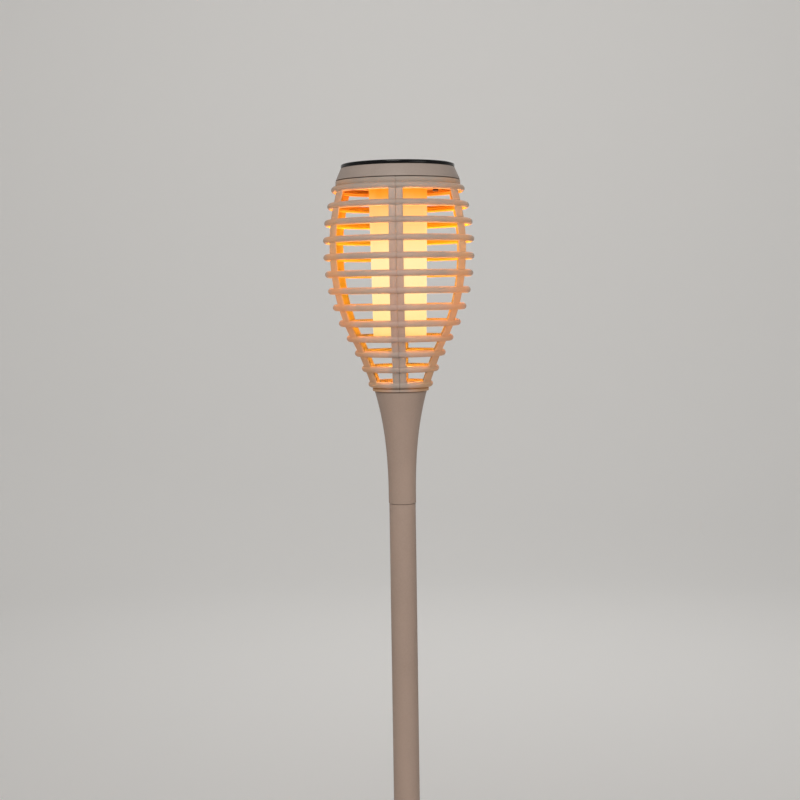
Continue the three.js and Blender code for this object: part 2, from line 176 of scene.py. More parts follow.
def filleted(corners, steps):
    """The (radius, height, fillet) corners of a profile, with an arc of that radius at each corner."""
    points = []
    count = len(corners)
    for index, (r, z, fillet) in enumerate(corners):
        here = Vector((r, z))
        before = Vector(corners[index - 1][:2]) - here
        after = Vector(corners[(index + 1) % count][:2]) - here
        if fillet <= 0 or before.length == 0 or after.length == 0:
            points.append((r, z))
            continue
        half = before.angle(after) / 2
        room = 0.49 * min(before.length, after.length)
        cut = min(fillet / math.tan(half), room)
        radius = cut * math.tan(half)
        middle = here + (before.normalized() + after.normalized()).normalized() * radius / math.sin(half)
        start = here + before.normalized() * cut - middle
        end = here + after.normalized() * cut - middle
        sweep = start.angle_signed(end)
        for step in range(steps + 1):
            turned = start.copy()
            turned.rotate(Matrix.Rotation(-sweep * step / steps, 2))
            points.append(tuple(middle + turned))
    return points


def round_steps(count):
    """The cosine and sine of each of count equal steps round a circle."""
    angles = [2 * math.pi * step / count for step in range(count)]
    return [(math.cos(angle), math.sin(angle)) for angle in angles]


def turned(name, profile, material, segments=96, closed=True):
    """A (radius, height) profile in metres turned about Z. Points at radius 0 become poles."""
    points = []
    rows = []
    for r, z in profile:
        if r < 1e-7:
            rows.append([len(points)] * segments)
            points.append((0, 0, z))
            continue
        rows.append(list(range(len(points), len(points) + segments)))
        points += [(r * cos, r * sin, z) for cos, sin in round_steps(segments)]
    faces = []
    for row, above in zip(rows, rows[1:] + rows[:1] if closed else rows[1:]):
        if row[0] == row[1] and above[0] == above[1]:
            continue            # both are on the axis
        for step in range(segments):
            nxt = (step + 1) % segments
            corners = [row[step], row[nxt], above[nxt], above[step]]
            faces.append(list(dict.fromkeys(corners)))
    return mesh_object(name, points, faces, material)


def swept(name, rows, material):
    """Rows of points, each a closed section, joined into a solid with flat ends."""
    sides = len(rows[0])
    points = [p for row in rows for p in row]
    faces = []
    for a in range(0, len(points) - sides, sides):
        b = a + sides
        for side in range(sides):
            nxt = (side + 1) % sides
            faces.append([a + side, a + nxt, b + nxt, b + side])
    faces.append(list(range(sides)))
    faces.append(list(range(len(points) - sides, len(points)))[::-1])
    return mesh_object(name, points, faces, material)


def outward(made):
    """Turns the faces of a closed mesh to point out."""
    work = bmesh.new()
    work.from_mesh(made.data)
    bmesh.ops.recalc_face_normals(work, faces=work.faces)
    work.to_mesh(made.data)
    work.free()


def apply_modifiers(made):
    """Works an object's modifiers into its mesh."""
    evaluated = made.evaluated_get(bpy.context.evaluated_depsgraph_get())
    result = bpy.data.meshes.new_from_object(evaluated)
    made.modifiers.clear()
    made.data = result


def combined(base, others, operation="UNION"):
    """Joins or cuts closed meshes, and removes the ones used up."""
    outward(base)
    for other in others:
        outward(other)
        modifier = base.modifiers.new("cut", "BOOLEAN")
        modifier.operation = operation
        modifier.solver = "MANIFOLD"
        modifier.object = other
        apply_modifiers(base)
        bpy.data.objects.remove(other)
    return base


def rounded(made, width, segments):
    """Rounds the sharp edges of a closed mesh, by a width in mm."""
    bevel = made.modifiers.new("round", "BEVEL")
    bevel.width = width * MM
    bevel.segments = segments
    bevel.limit_method = "ANGLE"
    apply_modifiers(made)
    return made


def place(made, node, body):
    """Stands a finished piece in for its CAD node, alone or with others, on that node's body."""
    smooth(made)
    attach(made, body)
    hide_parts(node)
    return made


# ---- materials

def new_material(name, colour, roughness, metallic=0.0):
    """A node material; returns it with its tree and shader."""
    made = bpy.data.materials.new(name)
    made.use_nodes = True
    tree = made.node_tree
    shader = tree.nodes["Principled BSDF"]
    shader.inputs["Base Color"].default_value = (*colour, 1)
    shader.inputs["Roughness"].default_value = roughness
    shader.inputs["Metallic"].default_value = metallic
    return made, tree, shader


def coordinates(tree, stretch=(1, 1, 1)):
    """Object coordinates, in metres, multiplied along each axis."""
    source = tree.nodes.new("ShaderNodeTexCoord")
    mapping = tree.nodes.new("ShaderNodeMapping")
    mapping.inputs["Scale"].default_value = stretch
    tree.links.new(source.outputs["Object"], mapping.inputs["Vector"])
    return mapping.outputs["Vector"]


def noise(tree, size, detail, stretch=(1, 1, 1)):
    """Noise whose features are about size metres across."""
    node = tree.nodes.new("ShaderNodeTexNoise")
    node.inputs["Scale"].default_value = 1 / size
    node.inputs["Detail"].default_value = detail
    tree.links.new(coordinates(tree, stretch), node.inputs["Vector"])
    return node.outputs["Fac"]


def remap(tree, value, low, high, out_low, out_high):
    node = tree.nodes.new("ShaderNodeMapRange")
    node.inputs["From Min"].default_value = low
    node.inputs["From Max"].default_value = high
    node.inputs["To Min"].default_value = out_low
    node.inputs["To Max"].default_value = out_high
    tree.links.new(value, node.inputs["Value"])
    return node.outputs["Result"]


def blended(tree, factor, first, second):
    """A mix of two colours; each is a colour or a socket."""
    node = tree.nodes.new("ShaderNodeMix")
    node.data_type = "RGBA"
    for socket, value in ((node.inputs["A"], first), (node.inputs["B"], second)):
        if isinstance(value, bpy.types.NodeSocket):
            tree.links.new(value, socket)
        else:
            socket.default_value = (*value, 1)
    tree.links.new(factor, node.inputs["Factor"])
    return node.outputs["Result"]


def bumped(tree, shader, height, distance, strength, below=None):
    """Feeds a height into the shader's normal; below is an earlier bump to build on."""
    node = tree.nodes.new("ShaderNodeBump")
    node.inputs["Distance"].default_value = distance
    node.inputs["Strength"].default_value = strength
    tree.links.new(height, node.inputs["Height"])
    if below is not None:
        tree.links.new(below, node.inputs["Normal"])
    tree.links.new(node.outputs["Normal"], shader.inputs["Normal"])
    return node.outputs["Normal"]


def feed(shader, socket, value):
    shader.id_data.links.new(value, shader.inputs[socket])


def edge_wear(tree):
    """0 on flat surfaces and 1 on sharp outer edges."""
    geometry = tree.nodes.new("ShaderNodeNewGeometry")
    return remap(tree, geometry.outputs["Pointiness"], 0.53, 0.62, 0, 1)


def arithmetic(tree, operation, first, second=None):
    node = tree.nodes.new("ShaderNodeMath")
    node.operation = operation
    tree.links.new(first, node.inputs[0])
    if second is not None:
        tree.links.new(second, node.inputs[1])
    return node.outputs["Value"]


def vector_math(tree, operation, first, second=None):
    """One operation on vectors; the second is a socket, three numbers or nothing."""
    node = tree.nodes.new("ShaderNodeVectorMath")
    node.operation = operation
    tree.links.new(first, node.inputs[0])
    if isinstance(second, bpy.types.NodeSocket):
        tree.links.new(second, node.inputs[1])
    elif second is not None:
        node.inputs[1].default_value = second
    return node.outputs["Value" if operation == "DOT_PRODUCT" else "Vector"]


def height_part(tree, vector):
    """The Z part of a vector."""
    parts = tree.nodes.new("ShaderNodeSeparateXYZ")
    tree.links.new(vector, parts.inputs["Vector"])
    return parts.outputs["Z"]


def facing_out(tree):
    """1 on faces that look away from the torch's axis, 0 on faces that look towards it."""
    source = tree.nodes.new("ShaderNodeTexCoord")
    flat = vector_math(tree, "MULTIPLY", source.outputs["Object"], (1, 1, 0))
    away = vector_math(tree, "NORMALIZE", flat)
    outwards = vector_math(tree, "DOT_PRODUCT", source.outputs["Normal"], away)
    return remap(tree, outwards, -0.05, 0.45, 0, 1)


def facing_up(tree):
    """1 on faces that look up or sideways, 0 on faces that look down."""
    source = tree.nodes.new("ShaderNodeTexCoord")
    return remap(tree, height_part(tree, source.outputs["Normal"]), -0.6, -0.2, 0, 1)


def ramp(tree, value, stops):
    """A colour that follows value, from 0 to 1, through (place, colour) stops."""
    node = tree.nodes.new("ShaderNodeValToRGB")
    elements = node.color_ramp.elements
    elements[0].position, elements[0].color = stops[0][0], (*stops[0][1], 1)
    elements[1].position, elements[1].color = stops[-1][0], (*stops[-1][1], 1)
    for place_along, colour in stops[1:-1]:
        elements.new(place_along).color = (*colour, 1)
    tree.links.new(value, node.inputs["Fac"])
    return node.outputs["Color"]


CAGE_SPAN = 170                 # mm of height that by_height covers


def by_height(tree, stops):
    """A colour that follows the height above the stem, through (millimetres, colour) stops."""
    height = height_part(tree, coordinates(tree))
    part = remap(tree, height, in_frame(0), in_frame(CAGE_SPAN), 0, 1)
    return ramp(tree, part, [(above / CAGE_SPAN, colour) for above, colour in stops])


def length_along(tree, direction):
    """How far the point lies along a direction, in metres, the same on all four sides."""
    folded = vector_math(tree, "ABSOLUTE", coordinates(tree))
    return arithmetic(tree, "ABSOLUTE", vector_math(tree, "DOT_PRODUCT", folded, direction))


def by_side_ribs(tree, reach_out):
    """1 on the side ribs, falling to 0 at reach_out from their middles."""
    across = (0.5, -0.866, 0)   # at right angles to a rib that stands 30 degrees off the X axis
    return remap(tree, length_along(tree, across), 5.5 * MM, reach_out, 1, 0)


def off_seam(tree, at_seam):
    """1 away from the seam, falling to at_seam on the double wall beside it."""
    return remap(tree, length_along(tree, (1, 0, 0)), 5 * MM, 9 * MM, at_seam, 1)


# The lamp's light painted into the base colour of the faces towards it: deepest amber beside the orange top
# and below the tube.
PAINTED_LAMP_AMBER = [
    (0, (0.20, 0.125, 0.008)), (25, (0.10, 0.085, 0.008)), (38, (0.14, 0.10, 0.008)),
    (52, (0.50, 0.32, 0.012)), (65, (0.58, 0.37, 0.013)), (130, (0.66, 0.41, 0.013)),
    (148, (0.46, 0.24, 0.009)), (160, (0.27, 0.12, 0.005)),
]
# Painted glow, emitted by the surface, standing in for the lamp's light through the side ribs, the rings and
# the double wall at the seam.
PAINTED_RIB_GLOW = [
    (0, (0.11, 0.03, 0)), (23, (0.14, 0.035, 0)), (47, (0.25, 0.055, 0)), (70, (0.32, 0.075, 0)),
    (90, (0.27, 0.07, 0)), (110, (0.22, 0.07, 0)), (140, (0.15, 0.05, 0)), (158, (0.10, 0.035, 0)),
]
PAINTED_RING_GLOW = [
    (0, (0.16, 0.04, 0)), (30, (0.16, 0.045, 0)), (50, (0.13, 0.04, 0.005)), (75, (0.09, 0.035, 0.005)),
    (95, (0.03, 0.015, 0.005)), (160, (0.01, 0.01, 0.005)),
]
PAINTED_SEAM_GLOW = [
    (0, (0, 0, 0)), (30, (0.02, 0, 0)), (50, (0.08, 0.012, 0)), (75, (0.09, 0.015, 0)),
    (110, (0.06, 0.012, 0)), (135, (0.01, 0, 0)), (160, (0, 0, 0)),
]
# How much of the light scatters in the walls, and how far the side ribs take their painted warm tint of lamp
# light.
SCATTER = [(0, (0.15, 0.15, 0.15)), (75, (1, 1, 1))]
PAINTED_WARMTH_HEIGHTS = [(90, (1, 1, 1)), (150, (0.1, 0.1, 0.1))]
PAINTED_WARM_TINT = (0.98, 0.92, 0.74)


def scatter_and_painted_glow(tree, shader, glow, facing):
    """Lets the lamp's light scatter through thin walls, and paints its glow on them as emission: most on the
    side ribs, least at the seam.

    facing is 0 on the faces towards the lamp, which take no painted glow."""
    weight = arithmetic(tree, "MULTIPLY", off_seam(tree, 0.45), by_height(tree, SCATTER))
    feed(shader, "Subsurface Weight", remap(tree, weight, 0, 1, 0, glow))
    shader.inputs["Subsurface Radius"].default_value = (1.0, 0.9, 0.8)
    shader.inputs["Subsurface Scale"].default_value = 22.0 * MM
    # Painted glow: emission that stands in for the lamp's light through the walls.
    rings = blended(tree, off_seam(tree, 0), by_height(tree, PAINTED_SEAM_GLOW), by_height(tree, PAINTED_RING_GLOW))
    through = blended(tree, by_side_ribs(tree, 22 * MM), rings, by_height(tree, PAINTED_RIB_GLOW))
    feed(shader, "Emission Color", blended(tree, facing, (0, 0, 0), through))
    shader.inputs["Emission Strength"].default_value = 1.0


def tinted(colour, factors):
    return [c * k for c, k in zip(colour, factors)]


def greige_plastic(name, colour, stretch=(1, 1, 1), glow=0.0, lit=None):
    """Satin warm grey moulded plastic: fine spark-eroded grain, soft mottling, paler worn edges.

    With glow, the thin walls let the lamp's light scatter through and take a painted glow, and the side ribs
    a painted warm tint. lit is a function that gives 0 on the faces towards the lamp, which take painted
    amber lamp light in their base colour."""
    darker, paler, worn = (tinted(colour, (k, k, k)) for k in (0.90, 1.08, 1.16))
    made, tree, shader = new_material(name, colour, 0.52)
    shader.inputs["Specular IOR Level"].default_value = 0.42
    mottle = remap(tree, noise(tree, 26 * MM, 3, stretch), 0.35, 0.65, 0, 1)
    speck = remap(tree, noise(tree, 1.4 * MM, 2), 0.3, 0.7, 0, 1)
    base = blended(tree, mottle, darker, colour)
    base = blended(tree, remap(tree, speck, 0, 1, 0, 0.35), base, paler)
    base = blended(tree, remap(tree, edge_wear(tree), 0, 1, 0, 0.6), base, worn)
    # Painted light: a warm tint on the side ribs stands in for the lamp's light through them.
    if glow:
        painted_warmth = blended(tree, by_height(tree, PAINTED_WARMTH_HEIGHTS), base, tinted(colour, PAINTED_WARM_TINT))
        base = blended(tree, by_side_ribs(tree, 14 * MM), base, painted_warmth)
    if lit:
        # Painted light: the faces towards the lamp take amber lamp light in their base colour.
        facing = lit(tree)
        base = blended(tree, facing, by_height(tree, PAINTED_LAMP_AMBER), base)
        if glow:
            scatter_and_painted_glow(tree, shader, glow, facing)
    feed(shader, "Base Color", base)
    rough = remap(tree, noise(tree, 9 * MM, 3, stretch), 0.3, 0.7, 0.46, 0.62)
    feed(shader, "Roughness", rough)
    flow = bumped(tree, shader, noise(tree, 14 * MM, 1, stretch), 0.12 * MM, 0.5)
    bumped(tree, shader, noise(tree, 0.45 * MM, 2), 0.03 * MM, 0.7, flow)
    return made


def black_gloss():
    made, tree, shader = new_material("black gloss", (0.004, 0.004, 0.005), 0.16)
    shader.inputs["Specular IOR Level"].default_value = 0.22
    smear = remap(tree, noise(tree, 18 * MM, 4), 0.35, 0.7, 0.12, 0.26)
    feed(shader, "Roughness", smear)
    dust = remap(tree, noise(tree, 0.7 * MM, 2), 0.62, 0.75, 0, 0.2)
    feed(shader, "Base Color", blended(tree, dust, (0.004, 0.004, 0.005), (0.05, 0.048, 0.045)))
    bumped(tree, shader, noise(tree, 6 * MM, 2), 0.02 * MM, 0.4)
    return made


def black_plastic(name, roughness):
    made, tree, shader = new_material(name, (0.02, 0.02, 0.02), roughness)
    worn = remap(tree, edge_wear(tree), 0, 1, 0, 0.5)
    base = blended(tree, remap(tree, noise(tree, 3 * MM, 3), 0.3, 0.7, 0, 1), (0.015,) * 3, (0.03,) * 3)
    feed(shader, "Base Color", blended(tree, worn, base, (0.07,) * 3))
    bumped(tree, shader, noise(tree, 0.3 * MM, 2), 0.03 * MM, 0.6)
    return made


def flame_glow():
    """The frosted tube, lit from inside: orange at the top, pale yellow from the middle down."""
    made, tree, shader = new_material("flame glow", (0.14, 0.10, 0.05), 0.42)
    height = height_part(tree, coordinates(tree))
    part = remap(tree, height, bottom("flame_tube"), top("flame_tube"), 0, 1)
    waver = remap(tree, noise(tree, 16 * MM, 2, (1, 1, 0.6)), 0.3, 0.7, -0.02, 0.02)
    stops = [
        (0.00, (0.86, 0.50, 0.14)), (0.05, (0.90, 0.69, 0.25)), (0.15, (0.90, 0.76, 0.34)),
        (0.32, (0.90, 0.79, 0.40)), (0.50, (0.90, 0.79, 0.41)), (0.61, (0.90, 0.74, 0.34)),
        (0.73, (0.90, 0.62, 0.23)), (0.85, (0.90, 0.52, 0.17)), (0.95, (0.88, 0.32, 0.02)),
        (1.00, (0.80, 0.22, 0.01)),
    ]
    feed(shader, "Emission Color", ramp(tree, arithmetic(tree, "ADD", part, waver), stops))
    shader.inputs["Emission Strength"].default_value = 1.0
    bumped(tree, shader, noise(tree, 0.5 * MM, 2), 0.03 * MM, 0.5)
    return made


def steel(name):
    made, tree, shader = new_material(name, (0.62, 0.62, 0.61), 0.3, 1.0)
    feed(shader, "Roughness", remap(tree, noise(tree, 1.5 * MM, 4), 0.3, 0.7, 0.2, 0.45))
    tint = remap(tree, noise(tree, 4 * MM, 3), 0.4, 0.7, 0, 1)
    feed(shader, "Base Color", blended(tree, tint, (0.62, 0.62, 0.61), (0.5, 0.49, 0.46)))
    return made


def solar_cells():
    """Dark blue-black silicon with fine silver fingers across each strip."""
    made, tree, shader = new_material("solar cells", (0.008, 0.012, 0.035), 0.22)
    finger_pitch = 1.9 * MM
    grain = 3.2 * MM
    wave = tree.nodes.new("ShaderNodeTexWave")
    wave.bands_direction = "Y"
    wave.inputs["Scale"].default_value = 1 / finger_pitch / 20 * math.pi
    tree.links.new(coordinates(tree), wave.inputs["Vector"])
    finger = remap(tree, wave.outputs["Fac"], 0.965, 0.985, 0, 0.55)
    grains = tree.nodes.new("ShaderNodeTexVoronoi")
    grains.inputs["Scale"].default_value = 1 / grain
    tree.links.new(coordinates(tree), grains.inputs["Vector"])
    shade = remap(tree, grains.outputs["Distance"], 0, 0.7, 0, 1)
    base = blended(tree, shade, (0.006, 0.009, 0.026), (0.014, 0.022, 0.062))
    feed(shader, "Base Color", blended(tree, finger, base, (0.42, 0.43, 0.45)))
    shader.inputs["Coat Weight"].default_value = 0.4
    shader.inputs["Coat Roughness"].default_value = 0.08
    return made


def window_clear():
    made, tree, shader = new_material("clear window", (0.95, 0.97, 1.0), 0.05)
    shader.inputs["Transmission Weight"].default_value = 1.0
    shader.inputs["IOR"].default_value = 1.45
    feed(shader, "Roughness", remap(tree, noise(tree, 20 * MM, 4), 0.4, 0.75, 0.02, 0.14))
    bumped(tree, shader, noise(tree, 12 * MM, 1), 0.02 * MM, 0.3)
    return made


def plain(name, colour, second, roughness, grain):
    """A two-tone material with a fine grain, for the pieces inside."""
    made, tree, shader = new_material(name, colour, roughness)
    tone = remap(tree, noise(tree, grain * 6, 3), 0.35, 0.65, 0, 1)
    feed(shader, "Base Color", blended(tree, tone, colour, second))
    rough = remap(tree, noise(tree, grain * 3, 2), 0.3, 0.7, roughness * 0.85, min(1, roughness * 1.15))
    feed(shader, "Roughness", rough)
    bumped(tree, shader, noise(tree, grain, 2), grain * 0.08, 0.6)
    return made


def around_axis(corners, base, steps=4):
    """Millimetre (radius, height above base, fillet) corners as a rounded profile in metres."""
    return filleted([(r * MM, base + z * MM, fillet * MM) for r, z, fillet in corners], steps)


# ---- spike and pole

POLE_RADIUS = 10.6
POLE_BORE = 9.0
PLUG_RADIUS = 8.6
PLUG_BORE = 6.8
PLUG_LENGTH = 36.0
GRIP_RIBS = [(4, 0.02), (6, 0.26), (27, 0.26), (31, 0.02)]    # (height above the shoulder, proud of the plug)


def quarter_turns():
    """The outward and sideways directions halfway between the X and Y axes, four times round."""
    for index in range(4):
        angle = math.pi / 4 + index * math.pi / 2
        out = Vector((math.cos(angle), math.sin(angle), 0))
        yield index, out, Vector((-out.y, out.x, 0))


def plug_corners(shoulder):
    """The reduced end of a pole above its shoulder."""
    tip = shoulder + PLUG_LENGTH
    return [
        (PLUG_RADIUS, shoulder, 0.4), (PLUG_RADIUS, tip - 1.2, 0.5), (PLUG_RADIUS - 1.0, tip, 0.3),
        (PLUG_BORE, tip, 0.3),
    ]


def grip_ribs(name, foot, material):
    """Four low crush ribs along a plug, which make the push fit."""
    root_half = 0.6
    crest_half = 0.35
    ribs = []
    for index, out, side in quarter_turns():
        rows = []
        for height, proud in GRIP_RIBS:
            centre = Vector((0, 0, foot + height * MM))
            inner = centre + out * (PLUG_RADIUS - 0.8) * MM
            outer = centre + out * (PLUG_RADIUS + proud) * MM
            rows.append([
                inner - side * root_half * MM, outer - side * crest_half * MM,
                outer + side * crest_half * MM, inner + side * root_half * MM,
            ])
        ribs.append(swept(f"{name}_{index}", rows, material))
    return ribs


def make_pole(node, material):
    """A hollow pole section: socket below, plug with crush ribs above."""
    foot = bottom(node)
    length = (top(node) - foot) / MM
    shoulder = length - PLUG_LENGTH
    corners = [
        (POLE_BORE, 0, 0.3), (POLE_RADIUS, 0, 0.35), (POLE_RADIUS, shoulder, 0.35),
        *plug_corners(shoulder), (PLUG_BORE, shoulder - 4, 1), (POLE_BORE, shoulder - 7, 1),
    ]
    pole = turned(node + "_shell", around_axis(corners, foot), material)
    ribs = grip_ribs(node + "_rib", foot + shoulder * MM, material)
    place(combined(pole, ribs), node, node)


def eased_corner(x, y, toward_x, toward_y, size):
    """Three points that ease a section's corner, from its side along X to its side along Y."""
    slack = size * 0.3
    return [(x + toward_x * size, y), (x + toward_x * slack, y + toward_y * slack), (x, y + toward_y * size)]


def spike_blade(name, material, turn):
    """One blade of the cross: a tapered plate with rounded edges and a blunt point."""
    tip = bottom("ground_spike") / MM
    into_collar = 0.5
    stations = [                # (height, half width, half thickness)
        (tip, 0.9, 0.7), (tip + 3, 1.5, 1.1), (tip + 30, 3.6, 1.35), (tip + 80, 7.4, 1.5),
        (tip + 112, 9.7, 1.5), (tip + 122, 10.3, 1.5), (tip + 132, 10.5, 1.5), (into_collar, 10.5, 1.5),
    ]
    rows = []
    for height, half, thick in stations:
        edge = min(0.7, half * 0.4)
        section = [
            *eased_corner(half, -thick, -1, 1, edge), *eased_corner(half, thick, -1, -1, edge)[::-1],
            *eased_corner(-half, thick, 1, -1, edge), *eased_corner(-half, -thick, 1, 1, edge)[::-1],
        ]
        rows.append([Vector((x * MM, y * MM, height * MM)) for x, y in section])
    blade = swept(name, rows, material)
    blade.data.transform(Matrix.Rotation(turn, 4, "Z"))
    return blade


def spike_gussets(name, material):
    """Small triangular webs that brace the blades under the collar."""
    half_thick = 0.6
    wide = 9.5
    narrow = 1.5
    into_collar = Vector((0, 0, 0.6 * MM))
    foot = Vector((0, 0, -15 * MM))
    webs = []
    for index, out, side in quarter_turns():
        rows = []
        for sign in (-1, 1):
            face = side * sign * half_thick * MM
            rows.append([face + into_collar, face + out * wide * MM + into_collar,
                         face + out * narrow * MM + foot, face + foot])
        webs.append(swept(f"{name}_{index}", rows, material))
    return webs


def make_spike(material):
    """The collar with its plug above, and the crossed blades and their webs below."""
    collar_top = (bottom("lower_pole") - GAP) / MM
    radius = reach("ground_spike") / MM
    collar = turned("spike_shell", around_axis([
        (0, 0, 0), (radius - 0.6, 0, 0), (radius, 0.6, 0.3), (radius, collar_top - 2.2, 1.2),
        (radius - 2.2, collar_top, 0.8), (PLUG_RADIUS, collar_top, 0.3),
        *plug_corners(collar_top)[1:], (PLUG_BORE, collar_top + 1, 0.5), (0, collar_top + 1, 0),
    ], 0), material)
    blades = [spike_blade("spike_blade_a", material, 0), spike_blade("spike_blade_b", material, math.pi / 2)]
    ribs = grip_ribs("spike_rib", collar_top * MM, material)
    joined = combined(collar, blades + spike_gussets("spike_web", material) + ribs)
    place(joined, "ground_spike", "spike")


# ---- flared stem

STEM_FOOT = 11.0
STEM_MOUTH = 21.3               # the radius the flare would reach at the top of the stem
STEM_FLARE = 2.6                # the power by which it widens
STEM_WALL = 2.2
SOCKET_RADIUS = 18.9
SOCKET_DEPTH = 8.0
PLUG_ROOM = 2.0                 # between the pole's plug and the end of its bore


def make_stem(material):
    """The flared stem: a bore for the pole's plug, a hollow flare and a socket for the cage's spigot."""
    bore_top = PLUG_LENGTH + PLUG_ROOM
    length = (STEM_TOP - bottom("flared_stem")) / MM
    mouth = -LIP_DROP / MM
    steps = 40
    outside = []
    inside = []
    for step in range(steps + 1):
        height = -length + (length + mouth) * step / steps
        radius = STEM_FOOT + (STEM_MOUTH - STEM_FOOT) * ((height + length) / length) ** STEM_FLARE
        outside.append((radius, height))
        if bore_top - length < height < -SOCKET_DEPTH:
            inside.append((radius - STEM_WALL, height, 0))
    edge = outside[-1][0]
    outside = [(r, z, 0) for r, z in outside[1:-1]]
    profile = [
        (POLE_BORE, -length, 0.3), (STEM_FOOT, -length, 0.5), *outside,
        (edge, mouth, 0.4), (SOCKET_RADIUS, mouth, 0.3), (SOCKET_RADIUS, -SOCKET_DEPTH, 0.2),
        *inside[::-1], (POLE_BORE, bore_top - length, 0.3),
    ]
    stem = turned("stem_shell", around_axis(profile, STEM_TOP), material)
    place(stem, "flared_stem", "head")


# ---- cage

RING_COUNT = 13
BAR = 2.6                       # radius of a ring's bar
RING_PROFILE = [                # (radius, height) points that the bars' centre lines follow
    (23.2, 4.2), (33.5, 28.6), (45.7, 52.1), (54.0, 77.8), (57.4, 105.0), (56.3, 131.7), (50.3, 158.1),
]
RIB_WIDTH = 10.9
RIB_PROUD = 0.95                # the rib's outer face, outwards from the bars' centre line
RIB_DEPTH = 1.8
RIB_EDGE = 0.8                  # easing of a rib's outer edges
RIB_INNER_EDGE = 0.5
SEAM_GROOVE = 0.5               # easing beside the seam
BAND_BORE = 45.6
BAND_RADIUS = 50.2
BAND_UPPER = 49.4


def spline_point(points, part):
    """A point on the smooth curve through the profile's points, part running from 0 to 1."""
    place_along = part * (len(points) - 1)
    index = min(int(place_along), len(points) - 2)
    t = place_along - index
    chosen = [points[max(0, min(len(points) - 1, index + k))] for k in (-1, 0, 1, 2)]
    result = []
    for axis in (0, 1):
        a, b, c, d = (p[axis] for p in chosen)
        v0 = (c - a) / 2
        v1 = (d - b) / 2
        cubed = 2 * b - 2 * c + v0 + v1
        squared = -3 * b + 3 * c - 2 * v0 - v1
        result.append(cubed * t ** 3 + squared * t ** 2 + v0 * t + b)
    return Vector(result)


def spaced_profile(count):
    """Points at equal steps of length along the cage's profile, in millimetres, bottom to top."""
    fine = [spline_point(RING_PROFILE, i / 1200) for i in range(1201)]
    lengths = [0.0]
    for before, after in zip(fine, fine[1:]):
        lengths.append(lengths[-1] + (after - before).length)
    spaced = []
    index = 0
    for step in range(count):
        goal = lengths[-1] * step / (count - 1)
        while index < len(lengths) - 2 and lengths[index + 1] < goal:
            index += 1
        part = (goal - lengths[index]) / (lengths[index + 1] - lengths[index])
        spaced.append(fine[index].lerp(fine[index + 1], part))
    return spaced


def half_turn(section, side, material, name):
    """Half of a hoop: a (radius, height) section in mm carried round one side, eased at the seam."""
    steps = 64
    middle = sum((Vector(p) for p in section), Vector((0, 0))) / len(section)
    easing = {0: 0.50, 1: 0.14}     # mm taken off the section at the seam, and one step from it
    rows = []
    angles = [-90, -89.6, -89.1] + [-90 + 180 * k / steps for k in range(1, steps)] + [89.1, 89.6, 90]
    for index, degrees in enumerate(angles):
        from_end = min(index, len(angles) - 1 - index)
        ease = easing.get(from_end, 0.0)
        angle = math.radians(degrees)
        row = []
        for r, z in section:
            point = Vector((r, z))
            inward = middle - point
            if inward.length > 0:
                point += inward.normalized() * ease
            x = point.x * MM * math.cos(angle) if from_end else 0
            row.append(Vector((side * (x - SEAM_OVERLAP), point.x * MM * math.sin(angle), in_frame(point.y))))
        rows.append(row)
    return swept(name, rows, material)


def bar_section(centre):
    """A round bar's (radius, height) section."""
    return [(centre.x + BAR * cos, centre.y + BAR * sin) for cos, sin in round_steps(20)]


def rib_section(left, right, left_edge, right_edge):
    """(across, inwards) corners of a rib's section, with rounded outer and inner edges."""
    return [
        *eased_corner(left, 0, 1, 1, left_edge)[::-1], *eased_corner(right, 0, -1, 1, right_edge),
        *eased_corner(right, RIB_DEPTH, -1, -1, min(RIB_INNER_EDGE, right_edge))[::-1],
        *eased_corner(left, RIB_DEPTH, 1, -1, min(RIB_INNER_EDGE, left_edge)),
    ]


def rib(name, degrees, left, right, left_edge, right_edge, material):
    """A strip that follows the profile inside the bars; across runs along the direction of turning."""
    stations = spaced_profile(49)
    angle = math.radians(degrees)
    out = Vector((math.cos(angle), math.sin(angle), 0))
    across = Vector((-math.sin(angle), math.cos(angle), 0))
    section = rib_section(left, right, left_edge, right_edge)
    rows = []
    for index, station in enumerate(stations):
        before = stations[max(0, index - 1)]
        after = stations[min(len(stations) - 1, index + 1)]
        along = (after - before).normalized()
        inward = Vector((-along.y, along.x))
        row = []
        for x, depth in section:
            point = station + inward * (depth - RIB_PROUD)
            row.append(out * point.x * MM + across * x * MM + Vector((0, 0, in_frame(point.y))))
        rows.append(row)
    return swept(name, rows, material)


def sector_block(name, radii, degrees, heights, material):
    """A block with curved sides, between two radii, two angles and two heights above the stem."""
    steps = 12
    (inner, outer), (start, end), (low, high) = radii, degrees, heights
    rows = []
    for step in range(steps + 1):
        angle = math.radians(start + (end - start) * step / steps)
        rows.append([Vector((r * MM * math.cos(angle), r * MM * math.sin(angle), in_frame(z)))
                     for r, z in ((inner, low), (outer, low), (outer, high), (inner, high))])
    return swept(name, rows, material)


# (radius, height, fillet) sections of the plain band round the lamp unit, and of the cage's closed foot.
BAND_SECTION = [
    (BAND_BORE, 157.0, 0.4), (BAND_RADIUS, 157.0, 0.3), (BAND_RADIUS, 160.3, 0.35),
    (BAND_UPPER + 0.1, 160.7, 0.1), (BAND_UPPER - 0.25, 161.0, 0.1), (BAND_UPPER, 161.4, 0.1),
    (BAND_UPPER, 164.7, 0.35), (BAND_BORE, 164.7, 0.4),
]
CUP_SECTION = [
    (16.3, -7, 0.3), (18.5, -7, 0.5), (18.5, -1.4, 0.2), (22.5, -1.4, 0.5), (22.5, 0.9, 0.5),
    (21.3, 1.3, 0.2), (23.2, 4.2, 0), (21.2, 4.2, 0), (20.0, 2.6, 0.4), (8, 2.6, 0.4), (8, 0.3, 0.3),
    (16.3, 0.3, 0.5),
]
LUG_ANGLES = (0, 180)
LUG_HALF = 5                    # degrees either side of a lug's middle
NOTCH_HALF = 6.5
TWIST = 20


